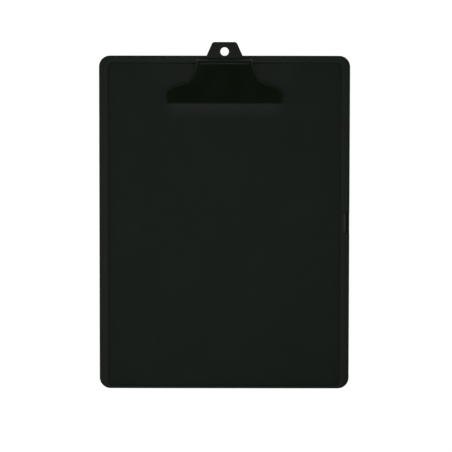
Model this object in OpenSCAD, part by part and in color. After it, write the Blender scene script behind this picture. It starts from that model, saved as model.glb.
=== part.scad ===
// Storage clipboard box, lying closed on its back.
// +Z points up out of the writing surface, +Y towards the clip, +X towards the latch.
// The origin is the centre of the case's back face. All sizes are in millimetres.

/* [Case] */
// Width of the case across its rim
case_w = 241; // [236:0.5:252]
// Length of the case along its rim
case_l = 321; // [316:0.5:336]
// Depth of the closed case, without the clip
case_h = 25.4; // [24:0.1:28]
// Corner radius of the rim, in plan
corner_r = 10.6; // [9:0.1:13]
// How far the lid's rim stands out past the side walls
rim_lip = 2.5; // [2.5:0.1:2.8]
// Thickness of the side walls
wall_t = 2.0; // [1.8:0.1:2.2]
// Thickness of the wall that carries the hinge knuckles
hinge_wall_t = 4.4; // [4:0.1:5]
// Thickness of the tray's floor
floor_t = 2.0; // [1.6:0.1:2.4]
// Height of the plane where lid and tray part
split_z = 12.7; // [12.4:0.1:13]
// Gap between lid and tray at that plane
split_gap = 0.3; // [0.2:0.05:0.4]

/* [Writing surface] */
// Thickness of the lid under the paper
panel_t = 2.2; // [2:0.1:2.4]
// Depth of the writing surface below the rim
recess_d = 1.8; // [1.5:0.1:2]
// Width of the raised rim along the long sides
rim_side = 8.5; // [8:0.1:9]
// Width of the raised rim behind the clip
rim_top = 6.9; // [6.5:0.1:7]
// Width of the low lip at the near end
rim_bottom = 2.8; // [2.6:0.1:3.5]
// Corner radius of the writing surface
recess_r = 4.5; // [3:0.1:6]

/* [Lid hinge] */
// Radius of the hinge knuckles
knuckle_r = 2.5; // [2.3:0.1:2.5]
// Length of one knuckle
knuckle_l = 14; // [12:0.5:16]
// Gap between neighbouring knuckles
knuckle_gap = 0.3; // [0.2:0.05:0.4]
// Distance from the middle hinge to the outer ones
hinge_pitch = 105; // [90:1:115]
// Radius of the hinge pins
hinge_pin_r = 1.0; // [0.9:0.05:1.1]

/* [Latch] */
// Position of the latch's middle along the case
latch_y = 0; // [-20:1:20]
// Width of the latch
latch_w = 19.3; // [18:0.1:21]
// Radius of the latch's head
latch_head_r = 2.0; // [1.9:0.05:2]
// Radius of the latch's trunnions
trunnion_r = 1.1; // [1:0.05:1.2]

/* [Clip] */
// Thickness of the jaw's sheet
jaw_t = 1.2; // [1:0.1:1.3]
// Half the width of the jaw
jaw_hw = 56.4; // [54:0.2:60]
// Distance of the gripping edge from the case's middle
jaw_y = 114.2; // [113:0.1:114.6]
// Distance of the crest line from the case's middle
crest_y = 152.5; // [152:0.1:153]
// Height of the crest above the writing surface
crest_h = 15.5; // [15:0.1:16.5]
// Distance of the tab's end from the case's middle
tab_y = 172.9; // [171:0.1:176]
// Half the width of the tab at its end
tab_hw = 11.4; // [11:0.1:13]
// Half the width of the tab at the crest
tab_root_hw = 20.4; // [18:0.1:21]
// Height of the tab's top above the writing surface
tab_h = 12.5; // [12:0.1:13]
// Distance of the hanging hole from the case's middle
hole_y = 163.8; // [163.5:0.1:164.5]
// Radius of the hanging hole
hole_r = 4.05; // [3.5:0.05:4.5]

/* [Clip bracket] */
// Thickness of the bracket's sheet
plate_t = 1.2; // [1:0.1:1.3]
// Distance of the clip's pivot from the case's middle
pivot_y = 141.5; // [141:0.1:142]
// Height of the pivot above the writing surface
pivot_h = 5.4; // [5.3:0.1:5.6]
// Radius of the pivot pin
pivot_r = 1.75; // [1.6:0.05:1.8]
// Distance of each rivet from the centre line
rivet_x = 6; // [5:0.5:7]
// Distance of the rivets from the case's middle
rivet_y = 147; // [146.5:0.1:147.5]
// Radius of a rivet's shank
rivet_r = 2.0; // [1.5:0.1:2.2]

/* [Clip springs] */
// Radius of the spring wire
wire_r = 0.8; // [0.7:0.05:0.8]
// Radius of the coils, to the middle of the wire
coil_r = 3.1; // [2.9:0.05:3.1]
// Distance along the pin from one turn to the next
coil_pitch = 1.75; // [1.7:0.05:1.8]

/* [Hidden] */
$fn = 64;
e = 0.01;

case_col = "#1b1f1b";
clip_col = "#101410";
steel_col = "#a9adb0";
wire_col = "#7c8184";

// case
ox = case_w / 2;
oy = case_l / 2;
wx = ox - rim_lip;
wy = oy - rim_lip;
wr = corner_r - rim_lip;
surf_z = case_h - recess_d;
panel_z = surf_z - panel_t;
tray_top = split_z - split_gap / 2;
lid_low = split_z + split_gap / 2;
// lid hinge: its axis runs along Y, in the parting plane
hinge_x = -wx;
hinge_z = split_z;
hinge_ys = [hinge_pitch, 0, -hinge_pitch];
step_y = knuckle_l + knuckle_gap;
// latch: its axis runs along Y
latch_x = ox - 4.9;
latch_z = case_h - 2.8;
plate_in = ox - 1.85;
plate_out = ox - 0.1;
// clip: heights from here on are in the case's frame
pivot_z = surf_z + pivot_h;
bead_r = 1.3;
slope = (crest_h - 2.6) / (crest_y - jaw_y - 0.9);
drop = jaw_t / cos(atan(slope));
function plate_top(y) = surf_z + 2.6 + (y - jaw_y - 0.9) * slope;
function plate_low(y) = plate_top(y) - drop;
ear_in = 25.8;
ear_out = 27.0;
rear_y = 156.5;

// ---- outlines in plan ----

module rrect(x0, x1, y0, y1, r) {
    translate([x0 + r, y0]) square([x1 - x0 - 2 * r, y1 - y0]);
    translate([x0, y0 + r]) square([x1 - x0, y1 - y0 - 2 * r]);
    for (x = [x0 + r, x1 - r], y = [y0 + r, y1 - r])
        translate([x, y]) circle(r = r);
}

module rim2d() rrect(-ox, ox, -oy, oy, corner_r);

module wall2d() rrect(-wx, wx, -wy, wy, wr);

module room2d(d = 0)
    rrect(-wx + hinge_wall_t + d, wx - wall_t - d,
          -wy + wall_t + d, wy - wall_t - d, wr - wall_t - d);

module recess2d()
    rrect(-ox + rim_side, ox - rim_side, -oy + rim_bottom, oy - rim_top, recess_r);

// ---- shapes used more than once ----

// a YZ outline, drawn as [y, z], made solid from x0 to x1
module along_x(x0, x1)
    translate([x0, 0, 0]) rotate([90, 0, 90]) linear_extrude(x1 - x0) children();

// a round bar along Y
module bar_y(x, z, r, y0, y1)
    translate([x, y0, z]) rotate([-90, 0, 0]) cylinder(r = r, h = y1 - y0);

// a round bar along X
module bar_x(y, z, r, x0, x1)
    translate([x0, y, z]) rotate([0, 90, 0]) cylinder(r = r, h = x1 - x0);

// knuckle bars: the lid has the middle one of each hinge, the tray the outer two
module lid_knuckles(r, grow = 0)
    for (y = hinge_ys)
        bar_y(hinge_x, hinge_z, r, y - knuckle_l / 2 - grow, y + knuckle_l / 2 + grow);

module tray_knuckles(r, grow = 0)
    for (y = hinge_ys, s = [-1, 1])
        bar_y(hinge_x, hinge_z, r, y + s * step_y - knuckle_l / 2 - grow,
              y + s * step_y + knuckle_l / 2 + grow);

// ---- case ----

module base_tray() color(case_col) difference() {
    union() {
        linear_extrude(tray_top) wall2d();
        tray_knuckles(knuckle_r);
        // ridge that the latch's lower edge snaps over
        translate([wx - 0.5, latch_y - 8, 8.2]) cube([1.0, 16, 1.2]);
    }
    translate([0, 0, floor_t]) linear_extrude(case_h) room2d();
    lid_knuckles(knuckle_r + 0.3, knuckle_gap);
    tray_knuckles(hinge_pin_r + 0.01, e);
}

module lid_panel() color(case_col) difference() {
    union() {
        // rim and writing plate
        translate([0, 0, panel_z]) linear_extrude(case_h - panel_z) rim2d();
        // side walls
        translate([0, 0, lid_low]) linear_extrude(panel_z - lid_low + e) difference() {
            wall2d();
            room2d();
        }
        // tongue inside the tray's walls, on the three sides without a hinge
        translate([0, 0, split_z + 0.5]) linear_extrude(1.8) difference() {
            room2d(-e);
            room2d(1.45);
            translate([-ox, -oy]) square([12.5, case_l]);
        }
        translate([0, 0, split_z - 1.3]) linear_extrude(1.8 + e) difference() {
            room2d(0.25);
            room2d(1.45);
            translate([-ox, -oy]) square([12.5, case_l]);
        }
        lid_knuckles(knuckle_r);
        // boss round the latch's pocket
        translate([latch_x - 4.4, latch_y - latch_w / 2 - 3, panel_z - 3.2])
            cube([wx - latch_x + 4.4 - 1, latch_w + 6, 3.2 + e]);
    }
    // writing surface
    translate([0, 0, surf_z]) linear_extrude(case_h) recess2d();
    // room for the tray's knuckles
    tray_knuckles(knuckle_r + 0.3, knuckle_gap);
    lid_knuckles(hinge_pin_r + 0.06, e);
    // latch pocket, open to the side, and its two sockets
    translate([latch_x - latch_head_r - 0.4, latch_y - latch_w / 2 - 0.4, latch_z - 2.4])
        cube([20, latch_w + 0.8, 20]);
    bar_y(latch_x, latch_z, trunnion_r + 0.05,
          latch_y - latch_w / 2 - 2.7, latch_y + latch_w / 2 + 2.7);
    // rivet holes
    for (s = [-1, 1])
        translate([s * rivet_x, rivet_y, panel_z - 1]) cylinder(r = rivet_r + 0.05, h = panel_t + 2);
}

module hinge_pin(i) color(steel_col)
    bar_y(hinge_x, hinge_z, hinge_pin_r, hinge_ys[i] - step_y - knuckle_l / 2 + 0.3,
          hinge_ys[i] + step_y + knuckle_l / 2 - 0.3);

module hinge_pin_upper() hinge_pin(0);
module hinge_pin_middle() hinge_pin(1);
module hinge_pin_lower() hinge_pin(2);

module latch() color(case_col) {
    y0 = latch_y - latch_w / 2;
    y1 = latch_y + latch_w / 2;
    // head, and the trunnions that turn in the lid's sockets
    bar_y(latch_x, latch_z, latch_head_r, y0, y1);
    bar_y(latch_x, latch_z, trunnion_r, y0 - 2.4, y1 + 2.4);
    // neck from the head to the clasp plate
    translate([latch_x, y0, latch_z - 1.7]) cube([plate_in - latch_x + 0.6, latch_w, 2.0]);
    // clasp plate, with a thicker lower edge
    translate([plate_in + 0.4, y0, 5.5]) cube([plate_out - plate_in - 0.4, latch_w, case_h - 0.2 - 5.5]);
    translate([plate_in - 0.05, y0, 5.5]) cube([1, latch_w, 2.3]);
}

// ---- clip ----

function unit(v) = v / norm(v);

// arc of radius r in the corner at b between a and c
function corner(a, b, c, r, n = 6) =
    r <= 0 ? [b] :
    let (u = unit(a - b), w = unit(c - b), h = acos(u * w) / 2,
         o = b + unit(u + w) * (r / sin(h)),
         p = b + u * (r / tan(h)), q = b + w * (r / tan(h)),
         a0 = atan2(p.y - o.y, p.x - o.x), a1 = atan2(q.y - o.y, q.x - o.x),
         turn = (a1 - a0 + 900) % 360 - 180)
    [for (i = [0 : n]) o + r * [cos(a0 + turn * i / n), sin(a0 + turn * i / n)]];

// path through [x, y, radius] corners
function rounded(p) =
    [for (i = [0 : len(p) - 1])
        let (a = p[(i + len(p) - 1) % len(p)], b = p[i], c = p[(i + 1) % len(p)])
        each corner([a.x, a.y], [b.x, b.y], [c.x, c.y], b.z)];

// the same path moved inwards by d; the path runs anticlockwise
function inset(p, d) =
    [for (i = [0 : len(p) - 1])
        let (a = p[(i + len(p) - 1) % len(p)], b = p[i], c = p[(i + 1) % len(p)],
             u = unit(b - a), w = unit(c - b), m = [-u.y, u.x], n = [-w.y, w.x])
        b + (m + n) * (d / (1 + m * n))];

// jaw, shoulders and neck as seen from above, right half, from the gripping edge up
jaw_half = [[jaw_hw, jaw_y, 1.5], [jaw_hw, 125.4, 3.6], [49.5, 130.6, 10],
            [34.0, 135.4, 3.5], [29.0, 144.5, 14], [26.9, 151, 10], [26.9, rear_y, 1.2]];
jaw_path = rounded(concat(jaw_half,
    [for (i = [len(jaw_half) - 1 : -1 : 0]) [-jaw_half[i].x, jaw_half[i].y, jaw_half[i].z]]));

tab_path = rounded([[tab_root_hw, crest_y, 0], [tab_hw, tab_y, 2.2],
                    [-tab_hw, tab_y, 2.2], [-tab_root_hw, crest_y, 0]]);

module clip_jaw() color(clip_col) {
    difference() {
        union() {
            // inclined plate, from the gripping edge up to the crest
            intersection() {
                translate([0, 0, surf_z]) linear_extrude(30) polygon(jaw_path);
                along_x(-jaw_hw, jaw_hw) polygon([
                    [jaw_y + 0.9, plate_low(jaw_y + 0.9)], [crest_y, plate_low(crest_y)],
                    [crest_y, plate_top(crest_y)], [jaw_y + 0.9, plate_top(jaw_y + 0.9)]]);
            }
            // turned-down edge that stiffens the shoulders
            intersection() {
                translate([0, 0, surf_z]) linear_extrude(30) difference() {
                    polygon(jaw_path);
                    polygon(inset(jaw_path, jaw_t));
                    translate([-jaw_hw, jaw_y - 1]) square([2 * jaw_hw, 5]);
                    translate([-40, 148]) square([80, 20]);
                }
                along_x(-jaw_hw, jaw_hw) polygon([
                    [jaw_y, plate_low(jaw_y) - 1.2], [150, plate_low(150) - 1.2],
                    [150, plate_low(150) + 0.5], [jaw_y, plate_low(jaw_y) + 0.5]]);
            }
            // rolled gripping edge
            bar_x(jaw_y + bead_r, surf_z + bead_r + 0.1, bead_r, -jaw_hw + 1.2, jaw_hw - 1.2);
            // crest and rear flange
            along_x(-26.9, 26.9) polygon([
                [crest_y - 1, plate_low(crest_y - 1)], [crest_y - 1, plate_top(crest_y - 1)],
                [crest_y, plate_top(crest_y)], [crest_y + 1.6, surf_z + crest_h - 0.5],
                [crest_y + 2.9, surf_z + crest_h - 1.8], [rear_y, surf_z + crest_h - 3.6],
                [rear_y, surf_z + 9.4], [rear_y - jaw_t, surf_z + 9.4],
                [rear_y - jaw_t, surf_z + crest_h - 3.9], [crest_y + 1.8, surf_z + crest_h - 2.5],
                [crest_y + 0.6, surf_z + crest_h - 1.5]]);
            // hanging tab
            translate([0, 0, surf_z + tab_h - jaw_t]) linear_extrude(jaw_t) difference() {
                polygon(tab_path);
                translate([-30, 140]) square([60, rear_y - jaw_t / 2 - 140]);
            }
            // ears that carry the pivot pin
            for (x = [-ear_out, ear_in]) along_x(x, x + ear_out - ear_in) {
                polygon([
                    [pivot_y - 4.2, pivot_z], [pivot_y + 4, pivot_z - 1.2],
                    [rear_y, surf_z + 9.4], [rear_y, surf_z + 11], [crest_y, plate_low(crest_y) + 0.4],
                    [pivot_y - 4.2, plate_low(pivot_y - 4.2) + 0.4]]);
                translate([pivot_y, pivot_z]) circle(r = 4.2);
            }
        }
        // hanging hole
        translate([0, hole_y, surf_z]) cylinder(r = hole_r, h = 30);
        // running fit on the pivot pin
        bar_x(pivot_y, pivot_z, pivot_r + 0.05, -40, 40);
    }
}

module clip_base_plate() color(steel_col) difference() {
    union() {
        translate([-25.4, pivot_y - 8, surf_z]) cube([50.8, 18.4, plate_t]);
        for (x = [-25.4, 25.4 - plate_t]) along_x(x, x + plate_t) {
            translate([pivot_y, pivot_z]) circle(r = 3.9);
            polygon([[pivot_y - 7, surf_z], [pivot_y + 7, surf_z],
                     [pivot_y + 3.4, pivot_z + 1.9], [pivot_y - 3.4, pivot_z + 1.9]]);
        }
    }
    bar_x(pivot_y, pivot_z, pivot_r + 0.01, -30, 30);
    for (s = [-1, 1])
        translate([s * rivet_x, rivet_y, surf_z - 1]) cylinder(r = rivet_r + 0.05, h = 4);
}

module clip_pivot_pin() color(steel_col) {
    bar_x(pivot_y, pivot_z, pivot_r, -ear_out - 1, ear_out + 1);
    for (x = [-ear_out - 1.1, ear_out + 0.2])
        bar_x(pivot_y, pivot_z, pivot_r + 0.9, x, x + 0.9);
}

// round wire along a path that stays close to the YZ plane
module wire(p, r, n = 8) {
    k = len(p);
    rings = [for (i = [0 : k - 1])
        let (t = unit(p[min(i + 1, k - 1)] - p[max(i - 1, 0)]),
             b = unit([1, 0, 0] - t.x * t), c = cross(t, b))
        each [for (j = [0 : n - 1]) p[i] + r * (cos(360 * j / n) * b + sin(360 * j / n) * c)]];
    polyhedron(rings, concat(
        [[for (j = [0 : n - 1]) j]],
        [for (i = [0 : k - 2], j = [0 : n - 1])
            [i * n + j, (i + 1) * n + j, (i + 1) * n + (j + 1) % n, i * n + (j + 1) % n]],
        [[for (j = [n - 1 : -1 : 0]) (k - 1) * n + j]]));
}

// torsion spring: one leg presses up under the lever, the other down on the bracket
module torsion_spring(x0) {
    leg_y = 9;
    up = [leg_y, plate_low(pivot_y + leg_y) - (wire_r + 0.05) * drop / jaw_t - pivot_z];
    lo = [leg_y + 0.5, surf_z + plate_t + wire_r + 0.05 - pivot_z];
    a0 = atan2(up.y, up.x) + acos(coil_r / norm(up));
    a1 = atan2(lo.y, lo.x) - acos(coil_r / norm(lo)) + 360 * 5;
    turns = (a1 - a0) / 360;
    n = 80;
    x1 = x0 + coil_pitch * turns;
    translate([0, pivot_y, pivot_z]) wire(concat(
        [[x0, up.x, up.y]],
        [for (i = [0 : n]) let (a = a0 + (a1 - a0) * i / n)
            [x0 + (x1 - x0) * i / n, coil_r * cos(a), coil_r * sin(a)]],
        [[x1, lo.x, lo.y]]), wire_r);
}

module clip_spring_left() color(wire_col) torsion_spring(-22);
module clip_spring_right() color(wire_col) mirror([1, 0, 0]) torsion_spring(-22);

module clip_rivet(x) color(steel_col) translate([x, rivet_y, 0]) {
    translate([0, 0, panel_z - 2]) cylinder(r = rivet_r, h = 2 + panel_t + plate_t + 1);
    // head on the bracket
    translate([0, 0, surf_z + plate_t]) cylinder(r = rivet_r + 1.4, h = 0.6);
    translate([0, 0, surf_z + plate_t + 0.6]) cylinder(r1 = rivet_r + 1.4, r2 = rivet_r, h = 0.9);
    // formed end under the washer
    translate([0, 0, panel_z - 1.6]) cylinder(r = rivet_r + 1, h = 0.8);
    translate([0, 0, panel_z - 2.2]) cylinder(r1 = rivet_r, r2 = rivet_r + 1, h = 0.6);
}

module clip_rivet_left() clip_rivet(-rivet_x);
module clip_rivet_right() clip_rivet(rivet_x);

module rivet_washer(x) color(steel_col) translate([x, rivet_y, panel_z - 0.8]) difference() {
    cylinder(r = 4.6, h = 0.8);
    translate([0, 0, -1]) cylinder(r = rivet_r + 0.05, h = 3);
}

module rivet_washer_left() rivet_washer(-rivet_x);
module rivet_washer_right() rivet_washer(rivet_x);

base_tray();
lid_panel();
hinge_pin_upper();
hinge_pin_middle();
hinge_pin_lower();
latch();
clip_base_plate();
clip_jaw();
clip_pivot_pin();
clip_spring_left();
clip_spring_right();
clip_rivet_left();
clip_rivet_right();
rivet_washer_left();
rivet_washer_right();
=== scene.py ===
"""Looks of the storage clipboard box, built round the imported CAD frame.

Shapes are worked out in millimetres in the case's frame (+Z up out of the writing surface,
+Y towards the clip, +X towards the latch) and scaled to metres at the end.
"""
import math

import bmesh
import bpy
from mathutils import Matrix, Vector


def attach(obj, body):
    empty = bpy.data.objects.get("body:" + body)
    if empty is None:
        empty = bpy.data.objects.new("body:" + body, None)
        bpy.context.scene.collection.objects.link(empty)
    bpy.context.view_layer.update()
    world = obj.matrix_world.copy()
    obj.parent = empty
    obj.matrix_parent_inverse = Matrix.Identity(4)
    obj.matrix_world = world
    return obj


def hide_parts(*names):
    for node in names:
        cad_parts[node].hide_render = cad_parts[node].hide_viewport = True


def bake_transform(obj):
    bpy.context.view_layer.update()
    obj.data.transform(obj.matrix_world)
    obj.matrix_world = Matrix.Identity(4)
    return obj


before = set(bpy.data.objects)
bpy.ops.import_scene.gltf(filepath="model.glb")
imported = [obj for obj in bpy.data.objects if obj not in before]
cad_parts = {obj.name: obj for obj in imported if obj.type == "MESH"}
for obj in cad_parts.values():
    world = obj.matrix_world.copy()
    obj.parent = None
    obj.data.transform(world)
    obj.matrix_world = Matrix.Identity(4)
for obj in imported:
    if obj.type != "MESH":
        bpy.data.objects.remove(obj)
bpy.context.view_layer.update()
scene = bpy.context.scene

# ------------------------------------------------------------------ camera
TILT, ROLL = 0.0509015, 0.00138257
LOOK_AT = Vector((0.001569, -0.003064, 0.0254))
cs, sn = math.cos(TILT), math.sin(TILT)
fwd, up, right = Vector((0, -sn, -cs)), Vector((0, cs, -sn)), Vector((1, 0, 0))
r2 = right * math.cos(ROLL) + up * math.sin(ROLL)
u2 = up * math.cos(ROLL) - right * math.sin(ROLL)
cam_data = bpy.data.cameras.new("camera")
cam_data.lens, cam_data.sensor_width, cam_data.sensor_fit = 132.24, 36.0, "HORIZONTAL"
cam_data.clip_start, cam_data.clip_end = 0.01, 50.0
cam = bpy.data.objects.new("camera", cam_data)
scene.collection.objects.link(cam)
at = LOOK_AT - fwd * 1.6
cam.matrix_world = Matrix((
    (r2.x, u2.x, -fwd.x, at.x), (r2.y, u2.y, -fwd.y, at.y),
    (r2.z, u2.z, -fwd.z, at.z), (0, 0, 0, 1)))
scene.camera = cam
scene.view_settings.view_transform = "Standard"

# ------------------------------------------------------------------ mesh tools
MM = 0.001


def new_object(name, verts, faces):
    me = bpy.data.meshes.new(name)
    me.from_pydata([tuple(v) for v in verts], [], faces)
    me.validate()
    ob = bpy.data.objects.new(name, me)
    scene.collection.objects.link(ob)
    fix_normals(ob)
    return ob


def fix_normals(ob):
    bm = bmesh.new()
    bm.from_mesh(ob.data)
    bmesh.ops.recalc_face_normals(bm, faces=bm.faces)
    bm.to_mesh(ob.data)
    bm.free()


def apply_modifiers(ob):
    bpy.context.view_layer.update()
    dg = bpy.context.evaluated_depsgraph_get()
    me = bpy.data.meshes.new_from_object(ob.evaluated_get(dg))
    ob.modifiers.clear()
    old, ob.data = ob.data, me
    me.name = ob.name
    bpy.data.meshes.remove(old)
    return ob


def boolean(ob, op, *others):
    for other in others:
        m = ob.modifiers.new("b", "BOOLEAN")
        m.operation, m.solver, m.object = op, "EXACT", other
        apply_modifiers(ob)
        bpy.data.objects.remove(other)
    return ob


def union(ob, *others):
    return boolean(ob, "UNION", *others)


def cut(ob, *others):
    return boolean(ob, "DIFFERENCE", *others)


def bevel(ob, width, segments=2, angle=50.0):
    m = ob.modifiers.new("v", "BEVEL")
    m.width, m.segments, m.limit_method, m.angle_limit = width, segments, "ANGLE", math.radians(angle)
    m.use_clamp_overlap = True
    return apply_modifiers(ob)


def loft(name, rings, close_profile=False, caps=True):
    """Skin over closed rings with the same number of points each."""
    n, k = len(rings[0]), len(rings)
    verts = [p for r in rings for p in r]
    faces = [(i * n + j, i * n + (j + 1) % n, ((i + 1) % k) * n + (j + 1) % n, ((i + 1) % k) * n + j)
             for i in range(k if close_profile else k - 1) for j in range(n)]
    if caps and not close_profile:
        faces += [tuple(range(n - 1, -1, -1)), tuple((k - 1) * n + j for j in range(n))]
    return new_object(name, verts, faces)


def round_rect(x0, x1, y0, y1, r, k=12):
    pts = []
    for cx, cy, a in ((x1 - r, y0 + r, -90), (x1 - r, y1 - r, 0), (x0 + r, y1 - r, 90), (x0 + r, y0 + r, 180)):
        for i in range(k + 1):
            t = math.radians(a + 90 * i / k)
            pts.append((cx + r * math.cos(t), cy + r * math.sin(t)))
    return pts


def ring(outline, d, z, k=12):
    x0, x1, y0, y1, r = outline
    return [(x, y, z) for x, y in round_rect(x0 + d, x1 - d, y0 + d, y1 - d, max(r - d, 0.05), k)]


def arc(a0, a1, n):
    return [math.radians(a0 + (a1 - a0) * i / n) for i in range(n + 1)]


def fillet(outline, d, z, r, a0, a1, n=6):
    """Rings round an arc of radius r about the line at inset d and height z."""
    return [(outline, d + r * math.cos(t), z + r * math.sin(t)) for t in arc(a0, a1, n)]


def rings_of(profile, k=12):
    """Rings for (outline, inset, z) entries; (a, b, share, z) stands between two such rings."""
    out = []
    for e in profile:
        if len(e) == 4:
            a, b, s, z = e
            out.append([(p[0] + (q[0] - p[0]) * s, p[1] + (q[1] - p[1]) * s, z)
                        for p, q in zip(ring(*a, 0, k), ring(*b, 0, k))])
        else:
            out.append(ring(*e, k))
    return out


def prism(name, pts, lo, hi, plane="YZ"):
    """A closed outline drawn in one plane, made solid between lo and hi along the third axis."""
    def at3(p, h):
        return {"YZ": (h, p[0], p[1]), "XZ": (p[0], h, p[1]), "XY": (p[0], p[1], h)}[plane]
    n = len(pts)
    verts = [at3(p, lo) for p in pts] + [at3(p, hi) for p in pts]
    faces = [tuple(range(n)), tuple(range(2 * n - 1, n - 1, -1))]
    faces += [(j, j + n, (j + 1) % n + n, (j + 1) % n) for j in range(n)]
    return new_object(name, verts, faces)


def block(name, x0, x1, y0, y1, z0, z1):
    return prism(name, [(x0, y0), (x1, y0), (x1, y1), (x0, y1)], z0, z1, "XY")


def lathe(name, profile, axis, centre, n=48):
    """A closed [radius, along] profile that starts and ends on the axis, turned about it."""
    verts, faces, rows = [], [], []
    for r, h in profile:
        if r < 1e-6:
            rows.append([len(verts)])
            verts.append((0, 0, h))
        else:
            rows.append(list(range(len(verts), len(verts) + n)))
            verts += [(r * math.cos(2 * math.pi * j / n), r * math.sin(2 * math.pi * j / n), h) for j in range(n)]
    for a, b in zip(rows, rows[1:]):
        for j in range(n):
            i = (j + 1) % n
            if len(a) == 1 and len(b) == 1:
                continue
            if len(a) == 1:
                faces.append((a[0], b[i], b[j]))
            elif len(b) == 1:
                faces.append((a[j], a[i], b[0]))
            else:
                faces.append((a[j], a[i], b[i], b[j]))
    turn = {"X": lambda p: (p[2], p[0], p[1]), "Y": lambda p: (p[1], p[2], p[0]), "Z": lambda p: p}[axis]
    verts = [tuple(c + q for c, q in zip(centre, turn(v))) for v in verts]
    return new_object(name, verts, faces)


def rod(name, r, lo, hi, axis, centre, chamfer=0.2, n=48):
    return lathe(name, [(0, lo), (r - chamfer, lo), (r, lo + chamfer), (r, hi - chamfer), (r - chamfer, hi), (0, hi)],
                 axis, centre, n)


def rounded(path, n=6):
    """Closed [x, y, radius] path with its corners rounded."""
    out = []
    for i, b in enumerate(path):
        a, c = path[i - 1], path[(i + 1) % len(path)]
        pb = Vector(b[:2])
        if b[2] <= 0:
            out.append(tuple(pb))
            continue
        u, w = (Vector(a[:2]) - pb).normalized(), (Vector(c[:2]) - pb).normalized()
        h = math.acos(max(-1, min(1, u.dot(w)))) / 2
        o = pb + (u + w).normalized() * (b[2] / math.sin(h))
        p, q = pb + u * (b[2] / math.tan(h)), pb + w * (b[2] / math.tan(h))
        a0, a1 = math.atan2(p.y - o.y, p.x - o.x), math.atan2(q.y - o.y, q.x - o.x)
        turn = (a1 - a0 + 5 * math.pi) % (2 * math.pi) - math.pi
        out += [(o.x + b[2] * math.cos(a0 + turn * k / n), o.y + b[2] * math.sin(a0 + turn * k / n))
                for k in range(n + 1)]
    return out


def finish_mesh(ob, angle=32.0, weighted=True):
    """Scale to metres, smooth shading with sharp edges kept, and normals led by the large faces."""
    bm = bmesh.new()
    bm.from_mesh(ob.data)
    bmesh.ops.remove_doubles(bm, verts=bm.verts, dist=0.0005)
    bmesh.ops.dissolve_degenerate(bm, edges=bm.edges, dist=0.0005)
    bad = [e for e in bm.edges if len(e.link_faces) != 2]
    for e in bad[:6]:
        print("  EDGE", len(e.link_faces), [tuple(round(c, 3) for c in v.co) for v in e.verts])
    open_edges = len(bad)
    bm.transform(Matrix.Scale(MM, 4))
    bm.to_mesh(ob.data)
    bm.free()
    ob.data.polygons.foreach_set("use_smooth", [True] * len(ob.data.polygons))
    ob.data.set_sharp_from_angle(angle=math.radians(angle))
    if weighted:
        m = ob.modifiers.new("w", "WEIGHTED_NORMAL")
        m.mode, m.weight, m.keep_sharp = "FACE_AREA", 80, True
        apply_modifiers(ob)
    print("MESH", ob.name, "faces", len(ob.data.polygons), "open edges", open_edges)
    return ob


# ------------------------------------------------------------------ sizes, as in the CAD model
RIM = (-120.5, 120.5, -160.5, 160.5, 10.6)
WALL = (-118.0, 118.0, -158.0, 158.0, 8.1)
ROOM = (-113.6, 116.0, -156.0, 156.0, 6.1)
RECESS = (-112.0, 112.0, -157.7, 153.6, 4.5)
SURF, PANEL, TOP = 23.6, 21.4, 25.4
LID_LOW, TRAY_TOP, FLOOR = 12.85, 12.55, 2.0
HX, HZ, KR, KL, STEP = -118.0, 12.7, 2.5, 14.0, 14.3
HINGE_YS = (105.0, 0.0, -105.0)
LX, LZ, LW = 115.6, 22.6, 19.3
PIVOT_Y, PIVOT_Z = 141.5, 29.0

# ------------------------------------------------------------------ lid
def knuckle(name, y, r=KR):
    return lathe(name, [(0, y - KL / 2), (r - 0.3, y - KL / 2), (r, y - KL / 2 + 0.3),
                        (r, y + KL / 2 - 0.3), (r - 0.3, y + KL / 2), (0, y + KL / 2)], "Y", (HX, 0, HZ), 40)


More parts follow.
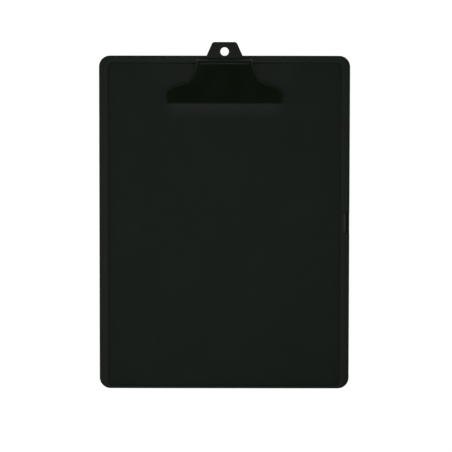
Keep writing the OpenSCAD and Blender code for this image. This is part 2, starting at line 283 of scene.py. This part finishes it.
def make_lid():
    f_in, f_top, f_out, sag = 0.7, 0.45, 0.6, 0.08
    inner, outer = (RECESS, -f_top), (RIM, f_out)
    p = [(RECESS, 3.0, SURF), (RECESS, f_in + 0.4, SURF)]
    p += fillet(RECESS, f_in, SURF + f_in, f_in, 270, 180, 6)
    p += fillet(RECESS, -f_top, TOP - sag - f_top, f_top, 0, 84, 6)
    # the rim's face is slightly crowned
    p += [(inner, outer, i / 10, TOP - sag * (2 * i / 10 - 1) ** 2) for i in range(1, 10)]
    p += fillet(RIM, f_out, TOP - sag - f_out, f_out, 84, 180, 7)
    p += fillet(RIM, 0.5, PANEL + 0.5, 0.5, 180, 270, 4)
    p += fillet(WALL, -0.5, PANEL - 0.5, 0.5, 90, 0, 4)
    p += fillet(WALL, 0.35, LID_LOW + 0.35, 0.35, 180, 270, 4)
    p += fillet(ROOM, -0.3, LID_LOW + 0.3, 0.3, 270, 360, 3)
    p += fillet(ROOM, 0.8, PANEL - 0.8, 0.8, 180, 90, 5)
    p += [(ROOM, 1.2, PANEL), (ROOM, 4.0, PANEL)]
    lid = loft("lid_shell", rings_of(p))
    # room for the tray's knuckles, then the lid's own
    for y in HINGE_YS:
        for s in (-1, 1):
            cut(lid, rod("c", KR + 0.3, y + s * STEP - KL / 2 - 0.27, y + s * STEP + KL / 2 + 0.3, "Y", (HX, 0, HZ), 0.05, 40))
    for y in HINGE_YS:
        union(lid, knuckle("k", y))
    # boss round the latch pocket
    union(lid, bevel(block("boss", 111.2, 117.0, -12.65, 12.65, 18.2, PANEL + 1.0), 0.6, 3, 40))
    # tongue that locates the lid in the tray, on the three sides without a hinge
    t = [(ROOM, -0.6, 14.6), (ROOM, -0.6, 13.6), (ROOM, 0.12, 13.3), (ROOM, 0.25, 13.0), (ROOM, 0.25, 11.75),
         (ROOM, 0.55, 11.4), (ROOM, 1.15, 11.4), (ROOM, 1.45, 11.7), (ROOM, 1.45, 14.7), (ROOM, 1.15, 15.0), (ROOM, 0.0, 15.4)]
    tongue = loft("tongue", rings_of(t), close_profile=True)
    cut(tongue, block("c", -130, -108.0, -170, 170, 5, 20))
    union(lid, tongue)
    # pin bores, latch pocket with eased edges, trunnion sockets, rivet holes
    for y in HINGE_YS:
        cut(lid, rod("c", 1.06, y - KL / 2 - 1, y + KL / 2 + 1, "Y", (HX, 0, HZ), 0.01, 32))
    def pocket(z, grow):
        return [(x, y, z) for x, y in round_rect(LX - 1.35 - grow, 135, -LW / 2 - 0.22 - grow, LW / 2 + 0.22 + grow, 0.3 + grow, 5)]
    # ribs that guard the latch's sides
    for s in (-1, 1):
        union(lid, bevel(block("rib", 117.6, 120.0, min(s * 9.95, s * 11.5), max(s * 9.95, s * 11.5), 13.3, PANEL + 0.4), 0.35, 3, 40))
    well = [(LX + 2.5 * math.cos(t), LZ + 2.5 * math.sin(t)) for t in arc(122.7, 270, 22)] + [(135, LZ - 2.5), (135, 24.9), (LX - 1.35, 24.9)]
    cut(lid, prism("c", well, -LW / 2 - 0.22, LW / 2 + 0.22, "XZ"))
    cut(lid, loft("c", [pocket(24.2, 0), pocket(24.95, 0), pocket(25.1, 0.03), pocket(25.25, 0.1), pocket(25.4, 0.22), pocket(30, 0.22)]))
    cut(lid, rod("c", 1.15, -12.35, 12.35, "Y", (LX, 0, LZ), 0.05, 32))
    for x in (-6, 6):
        cut(lid, rod("c", 2.05, PANEL - 1, SURF + 1, "Z", (x, 147, 0), 0.01, 32))
    return finish_mesh(lid)


# ------------------------------------------------------------------ tray
def make_tray():
    p = [(WALL, 8.0, 0.0), (WALL, 3.0, 0.0)]
    p += fillet(WALL, 2.4, 2.4, 2.4, 270, 180, 8)
    p += fillet(WALL, 0.35, TRAY_TOP - 0.35, 0.35, 180, 90, 4)
    p += fillet(ROOM, -0.3, TRAY_TOP - 0.3, 0.3, 90, 0, 3)
    p += fillet(ROOM, 1.4, FLOOR + 1.4, 1.4, 180, 270, 6)
    p += [(ROOM, 2.0, FLOOR), (ROOM, 6.0, FLOOR)]
    tray = loft("tray_shell", rings_of(p))
    for y in HINGE_YS:
        cut(tray, rod("c", KR + 0.3, y - KL / 2 - 0.33, y + KL / 2 + 0.33, "Y", (HX, 0, HZ), 0.05, 40))
    for y in HINGE_YS:
        for s in (-1, 1):
            union(tray, knuckle("k", y + s * STEP))
    # ridge that the latch's lower edge snaps over
    union(tray, bevel(prism("r", rounded([(117.4, 7.9, 0), (118.2, 8.15, 0.2), (118.5, 8.6, 0.25), (118.5, 9.0, 0.25),
                                          (118.2, 9.4, 0.2), (117.4, 9.7, 0)], 3), -8, 8, "XZ"), 0.2, 2, 50))
    for y in HINGE_YS:
        for s in (-1, 1):
            cut(tray, rod("c", 1.01, y + s * STEP - KL / 2 - 1, y + s * STEP + KL / 2 + 1, "Y", (HX, 0, HZ), 0.01, 32))
    return finish_mesh(tray)


# ------------------------------------------------------------------ latch
def make_latch():
    def on(a):
        return (LX + 2 * math.cos(math.radians(a)), LZ + 2 * math.sin(math.radians(a)))
    # a round head with a flattened, slightly crowned top
    head = [(LX + 1.86, LZ + 1.0), (LX + 1.62, LZ + 1.55), (LX + 1.42, LZ + 1.84)]
    head += [(LX + 1.22 - 2.44 * i / 8, LZ + 2.0 - 0.06 * (i / 4 - 1) ** 2) for i in range(9)]
    head += [(LX - 1.4, LZ + 1.82), (LX - 1.58, LZ + 1.52)] + [on(145 + (301.8 - 145) * i / 24) for i in range(25)]
    path = ([(p[0], p[1], 0) for p in head] +
            [(119.05, 20.9, 0.5), (119.05, 8.3, 0.3), (118.6, 7.6, 0.25), (118.6, 5.9, 0.3), (118.9, 5.5, 0.2),
             (120.4, 5.5, 0.5), (120.4, 25.2, 0.5), (119.05, 25.2, 0.4), (119.05, 23.6, 0.5)])
    pts = rounded(path, 5)
    lt = bevel(prism("latch_clasp", pts, -LW / 2, LW / 2, "XZ"), 0.3, 3, 60)
    union(lt, rod("t", 1.1, -12.05, 12.05, "Y", (LX, 0, LZ), 0.25, 32))
    for i in range(5):
        z = 8.6 + 1.5 * i
        g = prism("c", [(121.2, z - 1.1), (121.2, z + 1.1), (120.4, z + 0.42), (120.05, z + 0.12), (120.05, z - 0.12), (120.4, z - 0.42)],
                  -7.2, 7.2, "XZ")
        cut(lt, g)
    return finish_mesh(lt, 28)


# ------------------------------------------------------------------ clip lever
SLOPE = 12.9 / 37.4
ALPHA = math.atan(SLOPE)
CA, SA = math.cos(ALPHA), math.sin(ALPHA)
JAW_Y = 114.2
TAB_Y, TAB_R = 172.9, 3.2
RC = 4.0                                   # outer radius of the crest
YC = 156.5 - RC
YT = YC - RC * SA
ZT = 26.2 + (YT - 115.1) * SLOPE
ZC = ZT - RC * CA
T0 = (YT - JAW_Y) / CA                     # sheet length to the start of the crest
T1 = T0 + RC * (ALPHA + math.pi / 2)       # and to its end
T2 = T1 + (ZC - 33.0)                      # and to the rear flange's lower edge


def on_sheet(x, t, off):
    """Point at x, at length t along the sheet from the gripping edge and off inside its outer face."""
    if t <= T0:
        a, y, z = math.pi / 2 + ALPHA, JAW_Y + t * CA, 26.2 + (JAW_Y - 115.1) * SLOPE + t * SA
    elif t <= T1:
        a = math.pi / 2 + ALPHA - (t - T0) / RC
        y, z = YC + RC * math.cos(a), ZC + RC * math.sin(a)
    else:
        a, y, z = 0.0, YC + RC, ZC - (t - T1)
    return (x, y - off * math.cos(a), z - off * math.sin(a))


def smooth(a, b, v):
    s = min(1, max(0, (v - a) / (b - a)))
    return s * s * (3 - 2 * s)


def roll(t):
    """Width and depth of the rolled edge: tight on the wings, wide beside the neck, tight down the rear."""
    w, r = smooth(20.0, T0, t), smooth(T0 + RC * ALPHA, T1, t)
    return 1.3 + 3.9 * w - 4.0 * r, 1.3 + 0.8 * w - 0.9 * r


def resample(pts, step):
    out = [pts[0]]
    for a, b in zip(pts, pts[1:]):
        n = max(1, math.ceil(math.dist(a, b) / step))
        out += [(a[0] + (b[0] - a[0]) * i / n, a[1] + (b[1] - a[1]) * i / n) for i in range(1, n + 1)]
    return out


def make_lever():
    half = [(56.4, JAW_Y, 1.5), (56.4, 125.4, 3.6), (49.5, 130.6, 10), (34.0, 135.4, 3.5), (29.0, 144.5, 14),
            (26.9, 151.0, 10), (26.9, 170.0, 0)]
    full = half + [(-x, y, r) for x, y, r in reversed(half)]
    pts = rounded([(x, (y - JAW_Y) / CA, r) for x, y, r in full], 8)
    rows = [T0 + (T1 - T0) * i / 20 for i in range(21)] + [T1 + 0.9]
    # from the rear end down the right side to the middle of the front
    low = [p for p in pts if p[0] > 0 and p[1] < T0 - 0.6]
    if low[0][1] < low[-1][1]:
        low.reverse()
    side = [(26.9, T2)] + [(26.9, t) for t in reversed(rows)]
    k_rows = len(side)
    side += resample([side[-1]] + low + [(0.0, 0.0)], 2.0)[1:]
    path = side + [(-x, t) for x, t in reversed(side[:-1])]
    n = len(path)
    normals = []
    for i in range(n):
        b = Vector(path[i])
        a, c = (Vector(path[j]) for j in (max(i - 1, 0), min(i + 1, n - 1)))
        u = (b - a).normalized() if i else (c - b).normalized()
        w = (c - b).normalized() if i < n - 1 else u
        m, q = Vector((u.y, -u.x)), Vector((w.y, -w.x))
        normals.append((m + q) / (1 + m.dot(q)))
    if normals[2].x > 0:
        normals = [-v for v in normals]
    # outer and inner face of the sheet as two grids of the same make, joined round their edges
    arc_n, thick = 12, 1.2
    top = arc_n + 2

    def skin(off):
        rows_ = [[] for _ in range(top + 1)]
        for (x, t), v in zip(path, normals):
            a, b = roll(t)
            ra, rb = max(a - off, 0.1), max(b - off, 0.1)
            v = Vector((v.x, v.y * (1 - smooth(T0 - 4, T0 - 1, t))))
            rows_[0].append(on_sheet(x + v.x * off, t + v.y * off, b + 0.9))
            for i in range(arc_n + 1):
                th = math.pi / 2 * i / arc_n
                d = off + ra * (1 - math.cos(th))
                rows_[i + 1].append(on_sheet(x + v.x * d, t + v.y * d, off + rb * (1 - math.sin(th))))
            rows_[top].append(on_sheet(x + v.x * (off + ra + 0.1), t + v.y * (off + ra + 0.1), off))
        return [p for r in rows_ for p in r]

    last, lift = k_rows - 1, (top + 1) * n
    verts, faces = skin(0) + skin(thick), []
    for b in (0, lift):
        faces += [(b + k * n + j, b + k * n + j + 1, b + (k + 1) * n + j + 1, b + (k + 1) * n + j)
                  for k in range(top) for j in range(n - 1)]
        f = b + top * n
        faces += [(f + j, f + j + 1, f + n - 2 - j, f + n - 1 - j) for j in range(last)]
        faces.append(tuple(f + j for j in range(last, n - last)))
    faces += [(j, j + 1, lift + j + 1, lift + j) for j in range(n - 1)]
    end = [k * n for k in range(top + 1)] + [k * n + n - 1 for k in range(top, -1, -1)]
    faces += [(i, j, lift + j, lift + i) for i, j in zip(end, end[1:])]
    lever = new_object("clip_lever_sheet", verts, faces)
    bevel(lever, 0.2, 2, 60)

    # ears that carry the pivot pin, rising into the sheet
    edge = sorted((t, x) for x, t in side[k_rows - 1:] if t > 18)

    def ear_top(t):
        d = 0.05
        for (ta, xa), (tb, xb) in zip(edge, edge[1:]):
            if ta <= t <= tb:
                d = xa + (xb - xa) * (t - ta) / max(tb - ta, 1e-6) - 26.85
        a, b = roll(t)
        cover = 0 if d >= a else b * (1 - math.sqrt(1 - (1 - d / a) ** 2))
        return on_sheet(0, t, cover + 0.45)[1:]
    t_lo, t_hi = (137.4 - JAW_Y) / CA, T1 + 1.4
    tops = [ear_top(t_hi + (t_lo - t_hi) * i / 40) for i in range(41)]
    qy, qz = tops[0][0] - PIVOT_Y, tops[0][1] - PIVOT_Z
    a1 = math.degrees(math.atan2(qz, qy)) - math.degrees(math.acos(4.2 / math.hypot(qy, qz)))
    ear = [(PIVOT_Y + 4.2 * math.cos(t), PIVOT_Z + 4.2 * math.sin(t)) for t in arc(180, 360 + a1, 16)] + tops
    for x in (-26.85, 25.75):
        e = bevel(prism("ear", ear, x, x + 1.1, "YZ"), 0.12, 2, 60)
        union(lever, e)
    # hanging tab, which curves up into the crest
    rf = 3.4
    fz = 36.1 + rf
    fy = YC + math.sqrt((RC + rf) ** 2 - (fz - ZC) ** 2)
    a_end = math.degrees(math.atan2(ZC - fz, YC - fy)) % 360
    prof = [(155.4, 34.9), (TAB_Y + 1, 34.9), (TAB_Y + 1, 36.1)]
    prof += [(fy + rf * math.cos(t), fz + rf * math.sin(t)) for t in arc(270, a_end, 8)]
    prof += [(YC + 3.2 * math.cos(t), ZC + 3.2 * math.sin(t)) for t in arc(45, 15, 3)]
    tab = prism("tab", prof, -26, 26, "YZ")
    plan = rounded([(24.4, 153.0, 0), (24.4, 157.1, 1.6), (18.4, 157.1, 5.0), (11.4, TAB_Y, TAB_R),
                    (-11.4, TAB_Y, TAB_R), (-18.4, 157.1, 5.0), (-24.4, 157.1, 1.6), (-24.4, 153.0, 0)], 8)
    boolean(tab, "INTERSECT", prism("c", plan, 30, 45, "XY"))
    bevel(tab, 0.2, 2, 50)
    union(lever, tab)
    # hanging hole with eased edges, and the pivot bores
    cut(lever, lathe("c", [(0, 34.0), (4.25, 34.0), (4.25, 34.8), (4.15, 34.95), (4.05, 35.1), (4.05, 35.9), (4.15, 36.05),
                           (4.25, 36.2), (4.25, 37), (0, 37)], "Z", (0, 163.8, 0), 64))
    cut(lever, rod("c", 1.8, -40, 40, "X", (0, PIVOT_Y, PIVOT_Z), 0.05, 40))
    return finish_mesh(lever, 30)


# ------------------------------------------------------------------ clip bracket, springs and fasteners
def make_bracket():
    # sheet bent up at both sides
    r_out, t = 1.6, 1.2
    outer = [(25.4 - r_out + r_out * math.sin(a), SURF + r_out - r_out * math.cos(a)) for a in arc(0, 90, 6)]
    inner = [(25.4 - r_out + (r_out - t) * math.sin(a), SURF + r_out - (r_out - t) * math.cos(a)) for a in arc(90, 0, 6)]
    half = outer + [(25.4, 34.0), (24.2, 34.0)] + inner
    prof = [(-x, z) for x, z in reversed(half)][:]
    pts = half + prof
    br = prism("clip_bracket_sheet", pts, 133.5, 151.9, "XZ")
    side = [(133.0, SURF - 1), (152.4, SURF - 1), (152.4, 25.6), (149.6, 26.0)]
    side += [(PIVOT_Y + 3.9 * math.cos(a), PIVOT_Z + 3.9 * math.sin(a)) for a in arc(20, 160, 14)]
    side += [(134.2, 26.0), (133.0, 25.6)]
    boolean(br, "INTERSECT", prism("c", side, -30, 30, "YZ"))
    bevel(br, 0.2, 2, 50)
    cut(br, rod("c", 1.76, -30, 30, "X", (0, PIVOT_Y, PIVOT_Z), 0.05, 40))
    for x in (-6, 6):
        cut(br, rod("c", 2.05, SURF - 1, SURF + 3, "Z", (x, 147, 0), 0.01, 32))
    return finish_mesh(br, 30)


def make_pivot_pin():
    def head(s):
        return [(1.75, 27.2), (2.45, 27.2), (2.62, 27.32), (2.65, 27.5), (2.55, 27.75), (2.25, 27.95), (1.7, 28.07), (0.9, 28.1), (0, 28.1)]
    h = head(1)
    prof = [(r, -x) for r, x in reversed(h)] + h
    return finish_mesh(lathe("clip_pivot", prof, "X", (0, PIVOT_Y, PIVOT_Z), 48), 30, False)


def make_rivet(name, x):
    prof = [(0, 19.2), (1.7, 19.2), (2.0, 19.35), (2.7, 19.75), (3.0, 20.0), (3.0, 20.45), (2.85, 20.6), (2.0, 20.6),
            (2.0, 24.8), (3.3, 24.8), (3.4, 24.9), (3.36, 25.2), (3.1, 25.6), (2.6, 25.93), (1.9, 26.15), (1.0, 26.28), (0, 26.3)]
    return finish_mesh(lathe(name, prof, "Z", (x, 147, 0), 48), 40, False)


def make_washer(name, x):
    k, prof = 48, [(2.05, 20.7), (2.2, 20.6), (4.45, 20.6), (4.6, 20.72), (4.6, 21.28), (4.45, 21.4), (2.2, 21.4), (2.05, 21.3)]
    rings = [[(x + r * math.cos(2 * math.pi * j / k), 147 + r * math.sin(2 * math.pi * j / k), z) for j in range(k)] for r, z in prof]
    return finish_mesh(loft(name, rings, close_profile=True), 40, False)


def make_hinge_pin(name, y):
    return finish_mesh(rod(name, 1.0, y - 21.0, y + 21.0, "Y", (HX, 0, HZ), 0.25, 32), 30, False)


def make_spring(name, side):
    r, rc, pitch, x0 = 0.8, 3.1, 1.75, -22.0
    plate_low = lambda y: 26.2 + (y - 115.1) * SLOPE - 1.2 / CA
    upl = (9.0, plate_low(PIVOT_Y + 9) - (r + 0.05) / CA - PIVOT_Z)
    low = (9.5, SURF + 1.2 + r + 0.05 - PIVOT_Z)
    a0 = math.atan2(upl[1], upl[0]) + math.acos(rc / math.hypot(*upl))
    a1 = math.atan2(low[1], low[0]) - math.acos(rc / math.hypot(*low)) + 10 * math.pi
    turns = (a1 - a0) / (2 * math.pi)
    x1 = x0 + pitch * turns
    n = int(turns * 40)
    path = [Vector((x0, upl[0] + (rc * math.cos(a0) - upl[0]) * i / 12, upl[1] + (rc * math.sin(a0) - upl[1]) * i / 12)) for i in range(12)]
    path += [Vector((x0 + (x1 - x0) * i / n, rc * math.cos(a0 + (a1 - a0) * i / n), rc * math.sin(a0 + (a1 - a0) * i / n))) for i in range(n + 1)]
    path += [Vector((x1, rc * math.cos(a1) + (low[0] - rc * math.cos(a1)) * i / 12, rc * math.sin(a1) + (low[1] - rc * math.sin(a1)) * i / 12)) for i in range(1, 13)]
    k, rings = 14, []
    for i, p in enumerate(path):
        t = (path[min(i + 1, len(path) - 1)] - path[max(i - 1, 0)]).normalized()
        b = (Vector((1, 0, 0)) - t * t.x).normalized()
        c = t.cross(b)
        for q, back in (((r * 0.8, 0.0), (r, 0.18)) if i == 0 else (((r, 0.18), (r * 0.8, 0.0)) if i == len(path) - 1 else ((r, 0.0),))):
            shift = t * (back if i == 0 else -back)
            rings.append([tuple(Vector((0, PIVOT_Y, PIVOT_Z)) + p + shift + q * (math.cos(2 * math.pi * j / k) * b + math.sin(2 * math.pi * j / k) * c)) for j in range(k)])
    if side > 0:
        rings = [[(-x, y, z) for x, y, z in g] for g in rings]
    return finish_mesh(loft(name, rings), 50, False)


lid = make_lid()
tray = make_tray()
latch = make_latch()
lever = make_lever()
bracket = make_bracket()
pivot = make_pivot_pin()
rivets = [make_rivet("rivet_left", -6), make_rivet("rivet_right", 6)]
washers = [make_washer("washer_left", -6), make_washer("washer_right", 6)]
pins = [make_hinge_pin("lid_pin_" + n, y) for n, y in zip(("upper", "middle", "lower"), HINGE_YS)]
springs = [make_spring("spring_wire_left", -1), make_spring("spring_wire_right", 1)]


# ------------------------------------------------------------------ materials
class Nodes:
    def __init__(self, name):
        self.mat = bpy.data.materials.new(name)
        self.mat.use_nodes = True
        self.t = self.mat.node_tree
        self.t.nodes.clear()
        self.out = self.add("ShaderNodeOutputMaterial")
        self.sh = self.add("ShaderNodeBsdfPrincipled")
        self.link(self.sh, "BSDF", self.out, "Surface")
        self.co = self.add("ShaderNodeTexCoord")

    def add(self, kind, **v):
        n = self.t.nodes.new(kind)
        for k, x in v.items():
            setattr(n, k, x)
        return n

    def link(self, a, ao, b, bi):
        self.t.links.new(a.outputs[ao], b.inputs[bi])

    def noise(self, scale, detail=2.0, rough=0.5, stretch=None):
        n = self.add("ShaderNodeTexNoise")
        n.inputs["Scale"].default_value = scale
        n.inputs["Detail"].default_value = detail
        n.inputs["Roughness"].default_value = rough
        if stretch:
            m = self.add("ShaderNodeMapping")
            m.inputs["Scale"].default_value = stretch
            self.link(self.co, "Object", m, "Vector")
            self.link(m, "Vector", n, "Vector")
        else:
            self.link(self.co, "Object", n, "Vector")
        return n

    def ramp(self, src, out, lo, hi, to_lo=0.0, to_hi=1.0):
        m = self.add("ShaderNodeMapRange")
        for k, v in (("From Min", lo), ("From Max", hi), ("To Min", to_lo), ("To Max", to_hi)):
            m.inputs[k].default_value = v
        self.link(src, out, m, "Value")
        return m

    def mix(self, fac, fac_out, a, b):
        m = self.add("ShaderNodeMix", data_type="RGBA")
        self.t.links.new(fac.outputs[fac_out], m.inputs[0])
        for i, c in ((6, a), (7, b)):
            if isinstance(c, tuple):
                m.inputs[i].default_value = (*c, 1)
            else:
                self.t.links.new(c.outputs[2], m.inputs[i])
        return m

    def math(self, op, a, ao, b, bo=None):
        m = self.add("ShaderNodeMath", operation=op)
        self.link(a, ao, m, 0)
        if bo is None:
            m.inputs[1].default_value = b
        else:
            self.link(b, bo, m, 1)
        return m

    def bump(self, src, out, distance, strength=1.0, normal=None):
        b = self.add("ShaderNodeBump")
        b.inputs["Distance"].default_value = distance
        b.inputs["Strength"].default_value = strength
        self.link(src, out, b, "Height")
        if normal:
            self.link(normal, "Normal", b, "Normal")
        return b


def plastic():
    m = Nodes("case_plastic")
    m.sh.inputs["IOR"].default_value = 1.46
    cloud = m.noise(28, 3, 0.55)
    tone = m.ramp(cloud, 0, 0.3, 0.7)
    col = m.mix(tone, 0, (0.0046, 0.0125, 0.0056), (0.0062, 0.0155, 0.0074))
    # the rim's face is smoother than the grained writing surface
    sep = m.add("ShaderNodeSeparateXYZ")
    m.link(m.co, "Object", sep, 0)
    rim = m.ramp(sep, "Z", 0.0246, 0.0252)
    grain = m.noise(2400, 2, 0.6)
    fleck = m.noise(900, 1, 0.5)
    base = m.ramp(fleck, 0, 0.25, 0.75, 0.36, 0.45)
    rub = m.noise(60, 4, 0.6, (1.0, 0.35, 1.0))
    rubbed = m.ramp(rub, 0, 0.45, 0.75, 0.0, -0.02)
    r1 = m.math("ADD", base, 0, rubbed, 0)
    down = m.math("MULTIPLY", rim, 0, -0.06)
    r2_ = m.math("ADD", r1, 0, down, 0)
    # the strip in front of the jaw is made glossier here, and painted lighter below as a painted glow of light
    # reflected off the jaw's lip
    near = m.ramp(sep, "Y", 0.1, 0.1125)
    far = m.ramp(sep, "Y", 0.119, 0.115)
    wide = m.math("ABSOLUTE", sep, "X", 0)
    across = m.ramp(wide, 0, 0.06, 0.046)
    upper = m.ramp(sep, "Z", 0.0222, 0.0230)
    across = m.math("MULTIPLY", across, 0, upper, 0)
    strip = m.math("MULTIPLY", m.math("MULTIPLY", near, 0, far, 0), 0, across, 0)
    polish = m.math("MULTIPLY", strip, 0, -0.14)
    r2_ = m.math("ADD", r2_, 0, polish, 0)
    m.link(r2_, 0, m.sh, "Roughness")
    # painted light: the rim and the strip are painted a shade lighter, as a painted sheen on the rim and a painted
    # glow in front of the jaw
    painted_jaw_glow = m.math("MULTIPLY", strip, 0, 0.9)
    edge = m.math("MULTIPLY", rim, 0, 0.3)
    fac = m.math("MAXIMUM", painted_jaw_glow, 0, edge, 0)
    light = m.mix(fac, 0, col, (0.0120, 0.0215, 0.0110))
    # painted light: the surface beside the clip's neck is painted lighter, to lift the shade that the lever casts
    # there
    painted_neck_fill = m.math("MULTIPLY", m.ramp(sep, "Y", 0.120, 0.136), 0, m.ramp(wide, 0, 0.076, 0.034), 0)
    painted_neck_fill = m.math("MULTIPLY", m.math("MULTIPLY", painted_neck_fill, 0, upper, 0), 0, 0.8)
    light = m.mix(painted_neck_fill, 0, light, (0.0185, 0.0310, 0.0195))
    # painted highlight: the top of the latch's head is painted lighter, as the highlight along its crown
    side = m.math("MULTIPLY", m.ramp(sep, "X", 0.1139, 0.1143), 0, m.ramp(sep, "X", 0.1173, 0.1168), 0)
    band = m.math("MULTIPLY", m.ramp(sep, "Z", 0.0243, 0.0245), 0, m.ramp(sep, "Z", 0.0249, 0.0247), 0)
    y_abs = m.math("ABSOLUTE", sep, "Y", 0)
    head = m.math("MULTIPLY", m.math("MULTIPLY", side, 0, band, 0), 0, m.ramp(y_abs, 0, 0.0097, 0.0085), 0)
    light = m.mix(head, 0, light, (0.052, 0.060, 0.050))
    m.link(light, 2, m.sh, "Base Color")
    b1 = m.bump(grain, 0, 0.000016, 0.8)
    b2 = m.bump(cloud, 0, 0.00025, 0.25, b1)
    m.link(b2, 0, m.sh, "Normal")
    return m.mat


def paint():
    m = Nodes("clip_paint")
    m.sh.inputs["IOR"].default_value = 1.5
    cloud = m.noise(55, 3, 0.5)
    tone = m.ramp(cloud, 0, 0.3, 0.7)
    col = m.mix(tone, 0, (0.0030, 0.0096, 0.0016), (0.0041, 0.0122, 0.0024))
    m.link(col, 2, m.sh, "Base Color")
    peel = m.noise(650, 2, 0.5)
    fine = m.noise(3200, 1, 0.5)
    rr = m.ramp(cloud, 0, 0.25, 0.75, 0.28, 0.35)
    m.link(rr, 0, m.sh, "Roughness")
    b1 = m.bump(peel, 0, 0.000012, 0.7)
    b2 = m.bump(fine, 0, 0.000004, 0.6, b1)
    m.link(b2, 0, m.sh, "Normal")
    return m.mat


def steel(name, lo, hi, r_lo, r_hi, stretch):
    m = Nodes(name)
    m.sh.inputs["Metallic"].default_value = 1.0
    cloud = m.noise(220, 4, 0.6)
    tone = m.ramp(cloud, 0, 0.3, 0.7)
    col = m.mix(tone, 0, lo, hi)
    m.link(col, 2, m.sh, "Base Color")
    lines = m.noise(900, 3, 0.6, stretch)
    rr = m.ramp(lines, 0, 0.3, 0.7, r_lo, r_hi)
    m.link(rr, 0, m.sh, "Roughness")
    b = m.bump(lines, 0, 0.00001, 0.5)
    m.link(b, 0, m.sh, "Normal")
    return m.mat


M_CASE, M_CLIP = plastic(), paint()
M_STEEL = steel("pin_steel", (0.42, 0.43, 0.43), (0.60, 0.61, 0.62), 0.24, 0.42, (1, 1, 6))
M_WIRE = steel("spring_steel", (0.20, 0.20, 0.195), (0.34, 0.34, 0.33), 0.26, 0.40, (4, 1, 1))

for ob, mat, slot, body, nodes in (
        [(lid, M_CASE, "case_plastic", "lid", ["lid_panel"]),
         (tray, M_CASE, "case_plastic", "base", ["base_tray"]),
         (latch, M_CASE, "case_plastic", "latch", ["latch"]),
         (lever, M_CLIP, "clip_paint", "clip_lever", ["clip_jaw"]),
         (bracket, M_CLIP, "clip_paint", "lid", ["clip_base_plate"]),
         (pivot, M_STEEL, "pin_steel", "lid", ["clip_pivot_pin"])] +
        [(o, M_STEEL, "pin_steel", "lid", ["clip_" + o.name]) for o in rivets] +
        [(o, M_STEEL, "pin_steel", "lid", ["rivet_" + o.name]) for o in washers] +
        [(o, M_STEEL, "pin_steel", "base", [o.name.replace("lid_pin", "hinge_pin")]) for o in pins]):
    ob.data.materials.clear()
    ob.data.materials.append(mat)
    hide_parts(*nodes)
    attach(ob, body)
for ob, node in zip(springs, ("clip_spring_left", "clip_spring_right")):
    ob.data.materials.clear()
    ob.data.materials.append(M_WIRE)
    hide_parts(node)
    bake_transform(ob)

# ------------------------------------------------------------------ floor and light
floor_me = bpy.data.meshes.new("floor")
floor_me.from_pydata([(-9, -9, 0), (9, -9, 0), (9, 9, 0), (-9, 9, 0)], [], [(0, 1, 2, 3)])
floor = bpy.data.objects.new("floor", floor_me)
floor.location.z = -0.00005
scene.collection.objects.link(floor)
fm = Nodes("floor_white")
fm.sh.inputs["Base Color"].default_value = (0.9, 0.9, 0.9, 1)
fm.sh.inputs["Roughness"].default_value = 0.9
fm.sh.inputs["Specular IOR Level"].default_value = 0.0
fm.sh.inputs["Emission Color"].default_value = (1, 1, 1, 1)
fm_path = fm.add("ShaderNodeLightPath")
fm_glow = fm.ramp(fm_path, "Is Camera Ray", 0, 1, 0.2, 0.84)
fm.link(fm_glow, 0, fm.sh, "Emission Strength")
floor_me.materials.append(fm.mat)


def area(name, at, look, size_x, size_y, radiance):
    d = bpy.data.lights.new(name, "AREA")
    d.shape, d.size, d.size_y = "RECTANGLE", size_x, size_y
    d.energy = radiance * math.pi * size_x * size_y
    o = bpy.data.objects.new(name, d)
    o.location = at
    o.rotation_mode = "QUATERNION"
    o.rotation_quaternion = (Vector(look) - Vector(at)).to_track_quat("-Z", "Y")
    scene.collection.objects.link(o)
    return o


area("overhead", (0, 0.28, 2.6), (0, 0.28, 0), 2.0, 2.0, 0.233)
area("key", (-0.18, -0.25, 2.4), (0, 0, 0), 0.8, 0.8, 0.33)
for side, power in ((-1, 2.4), (1, 2.0)):
    fill = area("fill_left" if side < 0 else "fill_right", (1.75 * side, 0.1, 1.0), (0, 0, 0), 1.2, 0.9, power)
    fill.visible_glossy = False

world = bpy.data.worlds.new("studio")
scene.world = world
world.use_nodes = True
wt = world.node_tree
wt.nodes.clear()


def wn(kind, **v):
    n = wt.nodes.new(kind)
    for k, x in v.items():
        setattr(n, k, x)
    return n


w_out, w_bg, w_co, w_sep = wn("ShaderNodeOutputWorld"), wn("ShaderNodeBackground"), wn("ShaderNodeTexCoord"), wn("ShaderNodeSeparateXYZ")
w_ramp, w_back, w_mul = wn("ShaderNodeValToRGB"), wn("ShaderNodeMapRange"), wn("ShaderNodeMath", operation="MULTIPLY")
w_mix, w_path = wn("ShaderNodeMix", data_type="FLOAT"), wn("ShaderNodeLightPath")
wt.links.new(w_co.outputs["Generated"], w_sep.inputs[0])
wt.links.new(w_sep.outputs["Z"], w_ramp.inputs[0])
cr = w_ramp.color_ramp
cr.elements[0].position, cr.elements[0].color = 0.0, (0.8, 0.8, 0.8, 1)
cr.elements[1].position, cr.elements[1].color = 1.0, (0.04, 0.04, 0.04, 1)
for pos, v in ((0.12, 0.65), (0.3, 0.45), (0.45, 0.26), (0.58, 0.09), (0.7, 0.042)):
    cr.elements.new(pos).color = (v, v, v, 1)
# the backdrop behind the clip's end is a shade darker
wt.links.new(w_sep.outputs["Y"], w_back.inputs["Value"])
for key, val in (("From Min", 0.5), ("From Max", 0.9), ("To Min", 1.0), ("To Max", 0.58)):
    w_back.inputs[key].default_value = val
wt.links.new(w_ramp.outputs[0], w_mul.inputs[0])
wt.links.new(w_back.outputs[0], w_mul.inputs[1])
wt.links.new(w_path.outputs["Is Camera Ray"], w_mix.inputs[0])
wt.links.new(w_mul.outputs[0], w_mix.inputs[2])
w_mix.inputs[3].default_value = 1.0
wt.links.new(w_mix.outputs[0], w_bg.inputs["Strength"])
wt.links.new(w_bg.outputs[0], w_out.inputs[0])

bpy.context.view_layer.update()
